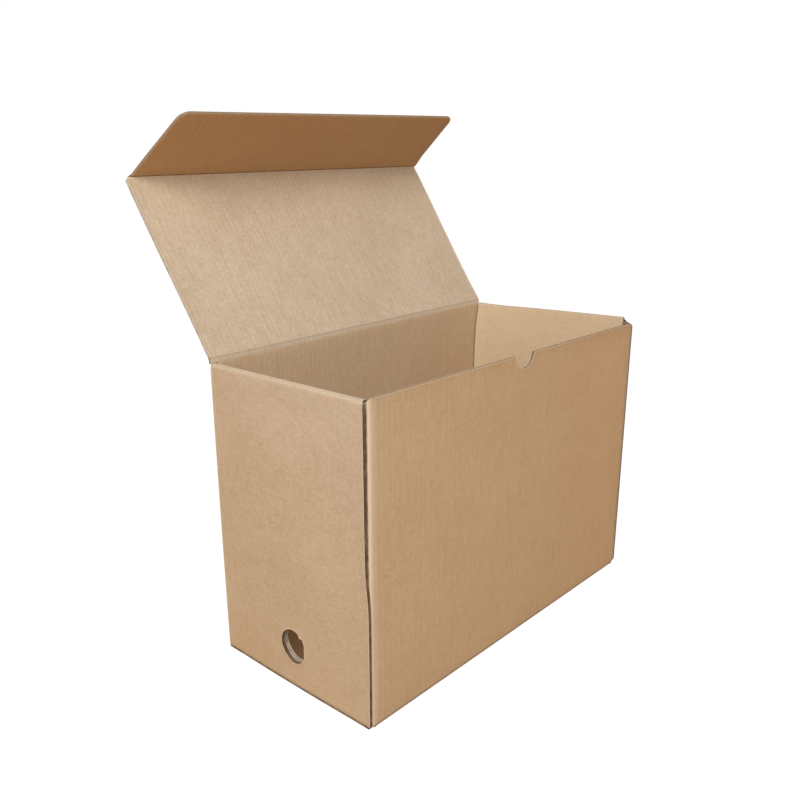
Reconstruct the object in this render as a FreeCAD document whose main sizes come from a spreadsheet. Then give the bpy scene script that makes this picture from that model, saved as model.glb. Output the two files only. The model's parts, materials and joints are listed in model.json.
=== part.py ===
import FreeCAD, Part
import math
import os
import re
import Sketcher
from FreeCAD import Placement, Rotation, Vector

# An archive box folded from one die-cut blank of single-wall corrugated board.
# Origin at the centre of the underside, +X along the front, +Y to the back, +Z up.
# It stands open: the lid leans back past upright and its tuck flap is turned forward.

SIZES = {
    # The folded box, outside
    "width": 388,
    "depth": 186,
    "height": 275,
    # The board and the spaces left between its folded layers
    "board": 2.5,
    "fold_round": 2,
    "seam_gap": 0.4,
    "ply_gap": 0.1,
    "raw_edge_inset": 0.3,
    # Flaps on the front and back panels, held inside the double ends
    "side_flap_length": 70,
    "side_flap_taper": 8,
    "side_flap_gap": 0.4,
    # Inner end panels and the tabs that lock them into the bottom
    "inner_front_gap": 7,
    "inner_back_gap": 4,
    "tab_width": 36,
    "tab_pitch": 92,
    "tab_recess": 0.4,
    "slot_gap": 0.3,
    # Finger hole low in the left end, thumb notch in the front's top edge
    "finger_radius": 16,
    "finger_height": 37.5,
    "notch_radius": 13,
    "notch_offset": 3.4,
    # Lid, hinged along the top of the back panel
    "lid_lean": 36,
    "lid_gap": 0.4,
    "hinge_gap": 0.3,
    "lid_root_gap": 1,
    # Tuck flap, hinged along the lid's front
    "tuck_turn": 86,
    "tuck_turn_shut": 110,
    "tuck_length": 86,
    "tuck_taper": 9.6,
    "tuck_corner": 10,
    "tuck_front_gap": 0.7,
    "tuck_side_gap": 0.4,
    "crease_gap": 0.3,
    "crease_round": 3,
}

# Sizes that follow from the ones above
HALF_WALL = "(width / 2 - board - seam_gap)"
END_DEPTH = "(3 * board + seam_gap + ply_gap)"
FLAP_OFFSET = "(board + seam_gap)"
INNER_OFFSET = f"({END_DEPTH} - board)"
FOLD_ROUND = "min(fold_round; board - crease_gap)"
FLAP_LOW = "(board + side_flap_gap)"
FLAP_HIGH = "(height - board - side_flap_gap)"
INNER_FRONT = "(depth / 2 - inner_front_gap)"
INNER_BACK = "(depth / 2 - inner_back_gap)"
LEAN = "lid_lean * 1deg"
TURN = "tuck_turn * 1deg"
PIVOT_Y = "(depth / 2 + hinge_gap)"
PIVOT_Z = "(height + lid_gap + board)"
LID_REACH = "(depth + hinge_gap - board - tuck_front_gap)"
TUCK_CREASE = "(board / tan((90 - tuck_turn_shut / 2) * 1deg) + crease_gap)"
TUCK_ROOT = f"(width / 2 - {END_DEPTH} - tuck_side_gap)"

doc = FreeCAD.newDocument("archive_box")
sheet = doc.addObject("Spreadsheet::Sheet", "sizes")
for row, (alias, value) in enumerate(SIZES.items(), start=1):
    sheet.set(f"A{row}", alias)
    sheet.set(f"B{row}", str(value))
    sheet.setAlias(f"B{row}", alias)
doc.recompute()


def formula(text):
    """The expression with each size read from the sheet."""
    return re.sub(r"\b(" + "|".join(SIZES) + r")\b", r"sizes.\1", text)


def new_body(label, x="0", y="0", z="0", axis=None, turn=None):
    """An empty body at a place given by formulas, turned about an axis if one is given."""
    body = doc.addObject("PartDesign::Body", label)
    if axis is not None:
        body.Placement = Placement(Vector(), Rotation(axis, 1))
        body.setExpression("Placement.Rotation.Angle", formula(turn))
    for direction, place in (("x", x), ("y", y), ("z", z)):
        body.setExpression(f"Placement.Base.{direction}", formula(place))
    return body


def new_sketch(body, name, plane):
    """An empty sketch on one of the body's own origin planes."""
    sketch = body.newObject("Sketcher::SketchObject", name)
    support = [f for f in body.Origin.OriginFeatures if f.Role == plane][0]
    sketch.AttachmentSupport = (support, [""])
    sketch.MapMode = "FlatFace"
    return sketch


def hold_point(sketch, index, point, across, along):
    """Fix a point of the sketch's geometry at two distances from the sketch's origin."""
    now = sketch.getPoint(index, point)
    for kind, start, place in (("DistanceX", now.x, across), ("DistanceY", now.y, along)):
        number = sketch.addConstraint(Sketcher.Constraint(kind, -1, 1, index, point, start))
        sketch.setExpression(f"Constraints[{number}]", formula(place))


def draw_polygon(sketch, corners, start=50):
    """A closed outline through the corners, laid out on a ring before its distances pull it in."""
    first = sketch.GeometryCount
    count = len(corners)
    ring = []
    for k in range(count):
        angle = 2 * math.pi * k / count
        ring.append(Vector(start * math.cos(angle), start * math.sin(angle), 0))
    for k in range(count):
        sketch.addGeometry(Part.LineSegment(ring[k], ring[(k + 1) % count]))
    for k in range(count):
        after = first + (k + 1) % count
        sketch.addConstraint(Sketcher.Constraint("Coincident", first + k, 2, after, 1))
    for k, (across, along) in enumerate(corners):
        hold_point(sketch, first + k, 1, across, along)


def draw_circle(sketch, across, along, radius, start=5):
    """A circle whose centre and radius are formulas."""
    index = sketch.addGeometry(Part.Circle(Vector(start, start, 0), Vector(0, 0, 1), start))
    hold_point(sketch, index, 3, across, along)
    number = sketch.addConstraint(Sketcher.Constraint("Radius", index, start))
    sketch.setExpression(f"Constraints[{number}]", formula(radius))


def pad(body, sketch, length="board", backwards=False):
    """The outline given the thickness of the board, or another length."""
    feature = body.newObject("PartDesign::Pad", f"{body.Name}_pad")
    feature.Profile = sketch
    feature.setExpression("Length", formula(length))
    feature.Reversed = backwards
    doc.recompute()
    return feature


def edges_on(shape, planes, along=None):
    """Names of the straight edges that lie on the named sides of the shape's bounding box."""
    found = []
    for number, edge in enumerate(shape.Edges, start=1):
        ends = [vertex.Point for vertex in edge.Vertexes]
        if len(ends) != 2:
            continue
        on = all(
            abs(getattr(end, side[0].lower()) - getattr(shape.BoundBox, side)) < 1e-6
            for side in planes
            for end in ends
        )
        if on and (along is None or (ends[1] - ends[0]).cross(along).Length < 1e-6):
            found.append(f"Edge{number}")
    return found


def round_edges(body, feature, names, radius):
    """The named edges of the feature rounded."""
    fillet = body.newObject("PartDesign::Fillet", f"{body.Name}_round")
    fillet.Base = (feature, names)
    fillet.setExpression("Radius", formula(radius))
    doc.recompute()
    return fillet


def round_folds(body, feature, folds):
    """Outside edges where the board turns a corner, each named by the two sides it lies on."""
    names = [name for fold in folds for name in edges_on(feature.Shape, fold)]
    return round_edges(body, feature, names, FOLD_ROUND)


def rectangle(left, right, low, high):
    """Corners of a rectangle, in order."""
    return [(left, low), (right, low), (right, high), (left, high)]


# Bottom panel, with a pair of slots beside each end for the locking tabs

bottom = new_body("bottom_panel")
outline = new_sketch(bottom, "bottom_outline", "XY_Plane")
side, front_back = "(width / 2 - board)", "(depth / 2 - board)"
draw_polygon(outline, rectangle(f"-{side}", side, f"-{front_back}", front_back))
for end in ("-1", "1"):
    for place in ("-1", "1"):
        near = f"{end} * (width / 2 - {INNER_OFFSET} + slot_gap)"
        far = f"{end} * (width / 2 - {END_DEPTH} - slot_gap)"
        middle = f"{place} * tab_pitch / 2"
        reach = "(tab_width / 2 + slot_gap)"
        draw_polygon(outline, rectangle(near, far, f"{middle} - {reach}", f"{middle} + {reach}"))
pad(bottom, outline)


# Front and back panels, each folded up from the bottom and round to its two side flaps


def wall_panel(label, sign, outer):
    """An upright panel between the ends; sign is -1 at the front and 1 at the back."""
    corner = "-depth / 2" if sign < 0 else "depth / 2 - board"
    body = new_body(label, y=corner)
    sketch = new_sketch(body, f"{label}_outline", "XZ_Plane")
    draw_polygon(sketch, rectangle(f"-{HALF_WALL}", HALF_WALL, "0", "height"))
    board = pad(body, sketch, backwards=True)
    folds = [(outer, "ZMin"), (outer, "XMin"), (outer, "XMax")]
    return body, round_folds(body, board, folds)


front, front_board = wall_panel("front_panel", -1, "YMin")
back, back_board = wall_panel("back_panel", 1, "YMax")

# The half-round thumb notch in the front's top edge, a little right of the middle
notch_outline = new_sketch(front, "notch_outline", "XZ_Plane")
draw_circle(notch_outline, "notch_offset", "height", "notch_radius")
notch = front.newObject("PartDesign::Pocket", "thumb_notch")
notch.Profile = notch_outline
notch.Type = "ThroughAll"
notch.Midplane = True
doc.recompute()


# Ends, two boards deep: up on the outside, over the side flaps, down on the inside


def beside(end, offset):
    """X of a board's low face, its outer face being offset in from the box's side."""
    if end == "left":
        return f"-width / 2 + {offset}"
    return f"width / 2 - {offset} - board"


def end_outer(end):
    """Outer panel, folded up from the bottom, with raw edges at the front and back."""
    body = new_body(f"{end}_end_outer", x=beside(end, "0"))
    sketch = new_sketch(body, f"{end}_outer_outline", "YZ_Plane")
    edge = "(depth / 2 - raw_edge_inset)"
    draw_polygon(sketch, rectangle(f"-{edge}", edge, "0", "height - board"))
    if end == "left":
        draw_circle(sketch, "0", "finger_height", "finger_radius")
    board = pad(body, sketch)
    round_folds(body, board, [("XMin" if end == "left" else "XMax", "ZMin")])


def end_top(end):
    """Narrow strip between the two top creases, cut back where it meets the inner panel."""
    body = new_body(f"{end}_end_top", z="height - board")
    sketch = new_sketch(body, f"{end}_top_outline", "XY_Plane")
    sign = "-1" if end == "left" else "1"
    outside, inside = f"{sign} * width / 2", f"{sign} * (width / 2 - {END_DEPTH})"
    edge = "(depth / 2 - raw_edge_inset)"
    corners = [
        (outside, f"-{edge}"), (inside, f"-{INNER_FRONT}"), (inside, INNER_BACK), (outside, edge),
    ]
    draw_polygon(sketch, corners)
    board = pad(body, sketch)
    round_folds(body, board, [("XMin", "ZMax"), ("XMax", "ZMax")])


def end_inner(end):
    """Inner panel, hanging from the strip, with two tabs through the bottom's slots."""
    body = new_body(f"{end}_end_inner", x=beside(end, INNER_OFFSET))
    sketch = new_sketch(body, f"{end}_inner_outline", "YZ_Plane")
    corners = [(f"-{INNER_FRONT}", "board")]
    for place in ("-1", "1"):
        middle = f"{place} * tab_pitch / 2"
        low, high = f"{middle} - tab_width / 2", f"{middle} + tab_width / 2"
        corners += [(low, "board"), (low, "tab_recess"), (high, "tab_recess"), (high, "board")]
    corners += [
        (INNER_BACK, "board"), (INNER_BACK, "height - board"), (f"-{INNER_FRONT}", "height - board"),
    ]
    draw_polygon(sketch, corners)
    if end == "left":
        draw_circle(sketch, "0", "finger_height", "finger_radius")
    pad(body, sketch)


def side_flap(wall, end):
    """Flap folded in from the front or back panel, between the two boards of the end."""
    body = new_body(f"{wall}_{end}_side_flap", x=beside(end, FLAP_OFFSET))
    sketch = new_sketch(body, f"{wall}_{end}_flap_outline", "YZ_Plane")
    sign = "-1" if wall == "front" else "1"
    root, tip = f"{sign} * (depth / 2 - board)", f"{sign} * (depth / 2 - side_flap_length)"
    corners = [
        (root, FLAP_LOW), (tip, f"{FLAP_LOW} + side_flap_taper"),
        (tip, f"{FLAP_HIGH} - side_flap_taper"), (root, FLAP_HIGH),
    ]
    draw_polygon(sketch, corners)
    pad(body, sketch)


for end in ("left", "right"):
    end_outer(end)
    end_top(end)
    end_inner(end)
    for wall in ("front", "back"):
        side_flap(wall, end)


# Lid: a panel that turns on the crease along the back panel's top

BACKWARD, FORWARD = Vector(-1, 0, 0), Vector(1, 0, 0)

lid = new_body("lid_panel", y=PIVOT_Y, z=PIVOT_Z, axis=BACKWARD, turn="lid_lean")
lid_outline = new_sketch(lid, "lid_outline", "XZ_Plane")
lid_end = f"{LID_REACH} - {TUCK_CREASE}"
draw_polygon(lid_outline, rectangle("-width / 2", "width / 2", "lid_root_gap", lid_end))
pad(lid, lid_outline)

# The crease between the back panel and the lid, bent to the angle at which the lid stands
lid_crease = new_body("lid_crease", x=f"-{HALF_WALL}")
crease_section = new_sketch(lid_crease, "lid_crease_section", "YZ_Plane")
root_y = f"{PIVOT_Y} + lid_root_gap * sin({LEAN})"
root_z = f"{PIVOT_Z} + lid_root_gap * cos({LEAN})"
draw_polygon(crease_section, [
    ("depth / 2 - board", "height"),
    ("depth / 2", "height"),
    (root_y, root_z),
    (f"{root_y} - board * cos({LEAN})", f"{root_z} + board * sin({LEAN})"),
])
pad(lid_crease, crease_section, length=f"2 * {HALF_WALL}")


# Tuck flap and the crease between it and the lid

tuck_crease = new_body(
    "tuck_crease", x=f"-{TUCK_ROOT}", y=PIVOT_Y, z=PIVOT_Z, axis=BACKWARD, turn="lid_lean"
)
fold_section = new_sketch(tuck_crease, "tuck_crease_section", "YZ_Plane")
tuck_y = f"-{TUCK_CREASE} * sin({TURN})"
tuck_z = f"{LID_REACH} + {TUCK_CREASE} * cos({TURN})"
draw_polygon(fold_section, [
    ("-board", lid_end),
    ("0", lid_end),
    ("0", LID_REACH),
    (tuck_y, tuck_z),
    (f"{tuck_y} - board * cos({TURN})", f"{tuck_z} - board * sin({TURN})"),
])
fold = pad(tuck_crease, fold_section, length=f"2 * {TUCK_ROOT}")
reach = fold.Shape.BoundBox.YMax
corner = max(
    (edge for edge in fold.Shape.Edges if abs(edge.CenterOfMass.y - reach) < 1e-6),
    key=lambda edge: edge.CenterOfMass.z,
)
corner_name = [f"Edge{k}" for k, edge in enumerate(fold.Shape.Edges, start=1) if edge.isSame(corner)]
round_edges(tuck_crease, fold, corner_name, "crease_round")

tuck = new_body(
    "tuck_flap",
    y=f"{PIVOT_Y} + {LID_REACH} * sin({LEAN})",
    z=f"{PIVOT_Z} + {LID_REACH} * cos({LEAN})",
    axis=FORWARD,
    turn="tuck_turn - lid_lean",
)
tuck_outline = new_sketch(tuck, "tuck_outline", "XZ_Plane")
tuck_tip = f"({TUCK_ROOT} - tuck_taper)"
draw_polygon(tuck_outline, [
    (f"-{TUCK_ROOT}", TUCK_CREASE),
    (TUCK_ROOT, TUCK_CREASE),
    (tuck_tip, "tuck_length"),
    (f"-{tuck_tip}", "tuck_length"),
])
tuck_board = pad(tuck, tuck_outline)
round_edges(tuck, tuck_board, edges_on(tuck_board.Shape, ["ZMax"], Vector(0, 1, 0)), "tuck_corner")


# Checks, then one file for each piece

doc.recompute()
for thing in doc.Objects:
    if "Invalid" in thing.State or "Error" in thing.State:
        raise RuntimeError(f"{thing.Label} could not be computed")

full, cut = front_board.Shape.Volume, front.Shape.Volume
half_disc = math.pi * sheet.notch_radius ** 2 / 2 * sheet.board
if abs(full - cut - half_disc) > 0.01 * half_disc:
    raise RuntimeError("the thumb notch isn't the half disc it should be")

os.makedirs("parts", exist_ok=True)
for body in doc.findObjects("PartDesign::Body"):
    shape = body.Shape
    if shape.isNull() or not shape.isValid() or len(shape.Solids) != 1:
        raise RuntimeError(f"{body.Label} isn't one valid solid")
    shape.exportStep(f"parts/{body.Label}.step")
    box = shape.BoundBox
    reach = f"{box.XLength:.1f} x {box.YLength:.1f} x {box.ZLength:.1f}"
    print(f"{body.Label}: {shape.Volume / 1000:.2f} cm3, {reach} mm")
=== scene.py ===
import json
import math

import bmesh
import bpy
import numpy as np
from mathutils import Matrix, Vector
from mathutils.geometry import delaunay_2d_cdt


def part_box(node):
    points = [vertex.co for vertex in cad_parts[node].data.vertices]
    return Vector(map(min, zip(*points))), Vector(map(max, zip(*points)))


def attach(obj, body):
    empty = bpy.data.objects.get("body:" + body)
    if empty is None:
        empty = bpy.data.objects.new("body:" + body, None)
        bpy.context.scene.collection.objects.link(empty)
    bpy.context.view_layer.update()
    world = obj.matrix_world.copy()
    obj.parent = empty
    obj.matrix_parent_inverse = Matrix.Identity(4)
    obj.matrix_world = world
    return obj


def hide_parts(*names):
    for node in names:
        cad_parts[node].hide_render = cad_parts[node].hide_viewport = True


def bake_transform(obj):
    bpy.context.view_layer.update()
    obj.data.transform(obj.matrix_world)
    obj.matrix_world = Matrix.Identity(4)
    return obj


# A plain kraft archive box, folded from one blank of single-wall corrugated board, lid open.
# Each panel is modelled as the board is made: two liners with a fluted sheet between them.
# Lengths are millimetres until a mesh is made, in the frame's own axes.

MM = 0.001

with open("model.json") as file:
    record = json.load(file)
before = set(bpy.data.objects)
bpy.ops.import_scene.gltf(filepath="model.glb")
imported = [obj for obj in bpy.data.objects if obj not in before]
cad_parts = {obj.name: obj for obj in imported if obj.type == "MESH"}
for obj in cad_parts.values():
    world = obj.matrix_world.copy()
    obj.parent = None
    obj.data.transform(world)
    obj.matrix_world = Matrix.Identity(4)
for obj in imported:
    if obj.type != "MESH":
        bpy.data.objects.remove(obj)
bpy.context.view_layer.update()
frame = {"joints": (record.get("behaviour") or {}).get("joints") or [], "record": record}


def span(node):
    """Lowest and highest corners of a node of the frame, in millimetres."""
    low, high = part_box(node)
    return np.array(low) / MM, np.array(high) / MM


def opening(name):
    """Middle of one of the record's stated openings, in millimetres."""
    boxes = frame["record"]["physics"]["openings"]
    return np.mean(next(each["box_m"] for each in boxes if each["name"] == name), axis=0) / MM


def pivot(name):
    """Y and Z of a joint's axis, in millimetres."""
    joint = next(each for each in frame["joints"] if each["name"] == name)
    return np.array(joint["pos_m"][1:]) / MM


# The folded box, from the frame
FRONT_LOW, FRONT_HIGH = span("front_panel")
HALF_WIDTH = span("right_end_outer")[1][0]
HALF_DEPTH = -FRONT_LOW[1]
HEIGHT = FRONT_HIGH[2]
BOARD = FRONT_HIGH[1] - FRONT_LOW[1]
END_EDGE = span("right_end_outer")[1][1]
INNER_LOW, INNER_HIGH = span("right_end_inner")
INNER_X = (INNER_LOW[0] + INNER_HIGH[0]) / 2
FLAP_TIP = -span("front_right_side_flap")[1][1]
FLAP_LOW, FLAP_HIGH = span("front_right_side_flap")[0][2], span("front_right_side_flap")[1][2]
LID_PIVOT, TUCK_PIVOT = pivot("lid_hinge"), pivot("tuck_hinge")
LID_REACH = np.linalg.norm(TUCK_PIVOT - LID_PIVOT)
LID_LEAN = math.degrees(math.atan2(*(TUCK_PIVOT - LID_PIVOT)))
NOTCH_X = opening("thumb_notch")[0]
HOLE_Y, HOLE_Z = opening("finger_hole")[1:]

# The board: liners, and a fluted sheet that stands between them and shows faintly through
HALF_BOARD = BOARD / 2
LINER = 0.42
MEDIUM = 0.34
FLUTE_PITCH = 6.0
FLUTE_RISE = HALF_BOARD - LINER - MEDIUM / 2
TELEGRAPH = 0.012

# How finely it is cut: across and along the flutes, in from its edges, and round its bends
ACROSS_STEP = FLUTE_PITCH / 6
ALONG_STEP = 18.0
EDGE_LINES = (0.6, 1.3, 2.4)
BEND_STEP = 0.45

# The least gap from a line to a bend's line, from a line to an edge as a share of the step, and
# from a bend's line to an edge
LINE_GAP, STEP_SHARE, BEND_GAP = 0.2, 0.2, 0.05

# What keeps a sharp corner's inset short, how close two places or stations count as one, and
# what stands for no length
MITRE_LIMIT, SAME_PLACE, SAME_STATION, NO_LENGTH = 0.4, 1e-4, 1e-3, 1e-9

# The answer asked of delaunay_2d_cdt: the cells between the lines, as faces that a mesh can hold
VALID_FACES = 3

# Folds: radii of their outer faces, angles in degrees
FOLD_RADIUS = 2.9
SIDE_FOLD_RADIUS = 3.6
TOP_FOLD_RADIUS = 1.75
LEAN_START, LEAN_RADIUS = 9.0, 4.0
SCORE_RADIUS = 2.5
TUCK_TURN, TUCK_RADIUS = 86.0, 3.2

# Flaps, tabs and openings
TUCK_LENGTH = 84.6
FLAP_TAPER = 8.0
TAB_WIDTH, TAB_PITCH, TAB_LOW = 36.0, 92.0, 0.4
SLOT_GAP = 0.3
NOTCH_RADIUS = 13.0
HOLE_RADIUS, HOLE_FLAT = 15.5, 13.9
HOLE_SHIFT = (-0.6, 2.0)
INNER_HOLE_SHIFT = 1.5
HOLE_POINTS = 80

# The hole's torn tooth and its flatter part: how deep, where round it and how wide in degrees
HOLE_TOOTH = (2.0, 54, 7)
HOLE_SAG = (0.8, 225, 25)


# How a folded sheet runs


class Run:
    """The middle of the board seen from its edge: straight lengths and bends in one plane.

    Its outer face is on the right of the way that it runs.
    """

    def __init__(self, place, heading):
        self.places = [np.array(place, float)]
        self.headings = [math.radians(heading)]
        self.stations = [0.0]
        self.turns = []

    def add(self, length, turn):
        start, heading = self.places[-1], self.headings[-1]
        if turn:
            radius = length / turn
            ahead = np.array([math.sin(heading + turn) - math.sin(heading),
                              math.cos(heading) - math.cos(heading + turn)]) * radius
        else:
            ahead = np.array([math.cos(heading), math.sin(heading)]) * length
        self.places.append(start + ahead)
        self.headings.append(heading + turn)
        self.stations.append(self.stations[-1] + length)
        self.turns.append(turn)
        return self.stations[-1]

    def straight(self, length):
        return self.add(length, 0.0)

    def bend(self, radius, angle):
        turn = math.radians(angle)
        return self.add(radius * abs(turn), turn)

    def at(self, s, w):
        """Place of the points a distance s along the run and w out from the board's middle."""
        first, second = np.zeros(len(s)), np.zeros(len(s))
        last = len(self.turns) - 1
        for k, turn in enumerate(self.turns):
            low = self.stations[k] if k else -np.inf
            high = self.stations[k + 1] if k < last else np.inf
            here = (s >= low) & (s < high)
            ahead = s[here] - self.stations[k]
            length = self.stations[k + 1] - self.stations[k]
            heading = self.headings[k] + turn * ahead / length
            out = np.stack([np.sin(heading), -np.cos(heading)])
            if turn:
                radius = length / turn
                start = self.headings[k]
                centre = self.places[k] + radius * np.array([-math.sin(start), math.cos(start)])
                found = centre[:, None] + out * (radius + w[here])
            else:
                way = np.array([math.cos(self.headings[k]), math.sin(self.headings[k])])
                found = self.places[k][:, None] + way[:, None] * ahead + out * w[here]
            first[here], second[here] = found
        return first, second

    def bends(self):
        """Stations of each bend's two ends."""
        return [(self.stations[k], self.stations[k + 1]) for k, turn in enumerate(self.turns) if turn]


def lean_lengths():
    """Where the back's top bends back, and how far on from there the lid's own line starts."""
    lean, start = math.radians(LID_LEAN), math.radians(LEAN_START)
    middle = LID_PIVOT - HALF_BOARD * np.array([math.cos(lean), -math.sin(lean)])
    back = np.array([HALF_DEPTH - HALF_BOARD, HEIGHT])
    ways = np.array([[math.sin(start), -math.sin(lean)], [math.cos(start), -math.cos(lean)]])
    to_lid, along_lid = np.linalg.solve(ways, middle - back)
    return to_lid, along_lid


# From the front's top edge down, under the box, up the back and out along the lid and the flap
FOLD_MIDDLE = FOLD_RADIUS - HALF_BOARD
TO_LID, ALONG_LID = lean_lengths()
LEAN_TANGENT = LEAN_RADIUS * math.tan(math.radians(LEAN_START / 2))
SCORE_TANGENT = SCORE_RADIUS * math.tan(math.radians((LID_LEAN - LEAN_START) / 2))
TUCK_MIDDLE = TUCK_RADIUS - HALF_BOARD
HALF_TURN_SLOPE = math.tan(math.radians(TUCK_TURN / 2))

LONG = Run((HALF_BOARD - HALF_DEPTH, HEIGHT), -90)
FRONT_LOW_S = LONG.straight(HEIGHT - FOLD_RADIUS)
BOTTOM_FRONT_S = LONG.bend(FOLD_MIDDLE, 90)
BOTTOM_BACK_S = LONG.straight(2 * (HALF_DEPTH - FOLD_RADIUS))
BACK_LOW_S = LONG.bend(FOLD_MIDDLE, 90)
BACK_TOP_S = LONG.straight(HEIGHT - FOLD_RADIUS - LEAN_TANGENT)
LONG.bend(LEAN_RADIUS, -LEAN_START)
LONG.straight(TO_LID - LEAN_TANGENT - SCORE_TANGENT)
LID_ROOT_S = LONG.bend(SCORE_RADIUS, LEAN_START - LID_LEAN)
LID_SPAN = LID_REACH - ALONG_LID - HALF_BOARD * HALF_TURN_SLOPE
TUCK_START_S = LONG.straight(LID_SPAN - SCORE_TANGENT - TUCK_MIDDLE * HALF_TURN_SLOPE)
TUCK_ROOT_S = LONG.bend(TUCK_MIDDLE, TUCK_TURN)
TUCK_END_S = LONG.straight(TUCK_LENGTH - (HALF_BOARD + TUCK_MIDDLE) * HALF_TURN_SLOPE)

# From the bottom's side up the end, over its top and down inside, seen with outward first
CROSS = Run((HALF_WIDTH - FOLD_RADIUS, HALF_BOARD), 0)
OUTER_LOW_S = CROSS.bend(FOLD_MIDDLE, 90)
OUTER_TOP_S = CROSS.straight(HEIGHT - HALF_BOARD - TOP_FOLD_RADIUS - FOLD_RADIUS)
CROSS.bend(TOP_FOLD_RADIUS, 90)
CROSS.straight(HALF_WIDTH - HALF_BOARD - INNER_X - 2 * TOP_FOLD_RADIUS)
INNER_TOP_S = CROSS.bend(TOP_FOLD_RADIUS, 90)
INNER_END_S = CROSS.straight(HEIGHT - HALF_BOARD - TOP_FOLD_RADIUS - BOARD)

# From the edge of the front or back round to its side flap, seen from above with outward first
SIDE_MIDDLE = SIDE_FOLD_RADIUS - HALF_BOARD
HALF_FLAT = FRONT_HIGH[0] - SIDE_FOLD_RADIUS
AROUND = Run((HALF_FLAT, HALF_BOARD - HALF_DEPTH), 0)
FLAP_ROOT_S = AROUND.bend(SIDE_MIDDLE, 90)
FLAP_END_S = AROUND.straight(HALF_DEPTH - SIDE_FOLD_RADIUS - FLAP_TIP)
HALF_SPREAD = HALF_FLAT + FLAP_ROOT_S


# How far the real box is from a true one: shifts of its corners, each as x, y and z


CARTON_SHIFTS = {
    ("left", "front", "low"): (-4.5, -0.5, 0.2),
    ("right", "front", "low"): (1, 0, 0),
    ("left", "back", "low"): (-2.5, -3, 0),
    ("right", "back", "low"): (0, 0, 0),
    ("left", "front", "high"): (-1, 1, 1),
    ("right", "front", "high"): (1, -3.5, -2),
    ("left", "back", "high"): (-0.5, 0.5, -1),
    ("right", "back", "high"): (-8.9, 0.6, -0.2),
}
LID_END_SHIFTS = {"left": (-1, 0, -0.5), "right": (-0.5, 1, 0)}
TUCK_END_SHIFTS = {"left": (-0.5, -0.5, -0.5), "right": (0.5, -0.5, 1)}
LID_TWIST = 1.8

# The left end's foot bulges, and this dies away upwards and towards the right
LOW_BULGE, BULGE_UP, BULGE_RIGHT = 1.2, 12, 6

# The left end's front edge stands away above GAP_START, and its strip leans in
GAP_START, GAP_EASE = 122.0, 7.0
GAP_OUT, GAP_BACK, GAP_REACH = 1.8, 1.6, 20
GAP_FOOT, GAP_POINTS = GAP_START - 5 * GAP_EASE, 20
STRIP_DROP = 1.8

# The right end's strip stands up: at the back, what it gains to the front, and how fast
BACK_RISE, FRONT_GAIN, RISE_POWER = 0.9, 8.6, 0.6

# Its inner panel bows in below its top, whose lip turns out again
BOW, BOW_REACH, BOW_FOOT = 10, 45, 200
LIP, LIP_REACH = 2.5, 20


def shares(value, half):
    """How much of the low and of the high side a coordinate takes."""
    high = (value + half) / (2 * half)
    return {"low": 1 - high, "high": high}


def settle_carton(points):
    """The carton's points moved as its eight corners are, with the left end's foot bulging."""
    across, deep = shares(points[:, 0], HALF_WIDTH), shares(points[:, 1], HALF_DEPTH)
    up = points[:, 2] / HEIGHT
    moved = points.copy()
    for (side, wall, level), shift in CARTON_SHIFTS.items():
        part = across["low" if side == "left" else "high"]
        part = part * deep["low" if wall == "front" else "high"]
        part = part * (up if level == "high" else 1 - up)
        moved += part[:, None] * np.array(shift)
    foot = np.sin(np.pi * np.clip(deep["high"], 0, 1)) * np.clip(1 - up, 0, 1) ** BULGE_UP
    moved[:, 0] -= LOW_BULGE * foot * np.clip(across["low"], 0, 1) ** BULGE_RIGHT
    return moved


def settle_lid(points, s):
    """The lid's and the flap's points moved as their corners are, from the hinge outwards."""
    across = shares(points[:, 0], HALF_WIDTH)
    on_lid = np.clip((s - LID_ROOT_S) / (TUCK_START_S - LID_ROOT_S), 0, 1) ** LID_TWIST
    on_flap = np.clip((s - TUCK_ROOT_S) / (TUCK_END_S - TUCK_ROOT_S), 0, 1)
    moved = points.copy()
    for side, part in (("left", across["low"]), ("right", across["high"])):
        root = np.array(CARTON_SHIFTS[side, "back", "high"])
        fold, tip = np.array(LID_END_SHIFTS[side]), np.array(TUCK_END_SHIFTS[side])
        shift = root + on_lid[:, None] * (fold - root) + on_flap[:, None] * (tip - fold)
        moved += part[:, None] * shift
    return moved


# Cutting a flat outline into cells


def bounds_of(outline):
    flat = np.array(outline)
    return flat.min(axis=0), flat.max(axis=0)


def inside(points, loops):
    """Which points lie inside the outline and outside its holes."""
    odd = np.zeros(len(points), bool)
    for loop in loops:
        corners = np.array(loop)
        for (u0, v0), (u1, v1) in zip(corners, np.roll(corners, -1, axis=0)):
            crosses = (v0 > points[:, 1]) != (v1 > points[:, 1])
            rise = v1 - v0 if v1 != v0 else 1.0
            odd ^= crosses & (points[:, 0] < u0 + (points[:, 1] - v0) * (u1 - u0) / rise)
    return odd


def inset(loop, gap):
    """A closed outline moved sideways by a gap, to its inner side when the gap is above 0."""
    corners = np.array(loop, float)
    ahead = np.roll(corners, -1, axis=0) - corners
    area = corners[:, 0] @ np.roll(corners[:, 1], -1) - np.roll(corners[:, 0], -1) @ corners[:, 1]
    aside = np.stack([-ahead[:, 1], ahead[:, 0]], axis=1) * math.copysign(1, area)
    aside /= np.linalg.norm(aside, axis=1)[:, None]
    both = aside + np.roll(aside, 1, axis=0)
    both /= np.maximum(np.sum(both * aside, axis=1), MITRE_LIMIT)[:, None]
    return corners + gap * both


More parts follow.
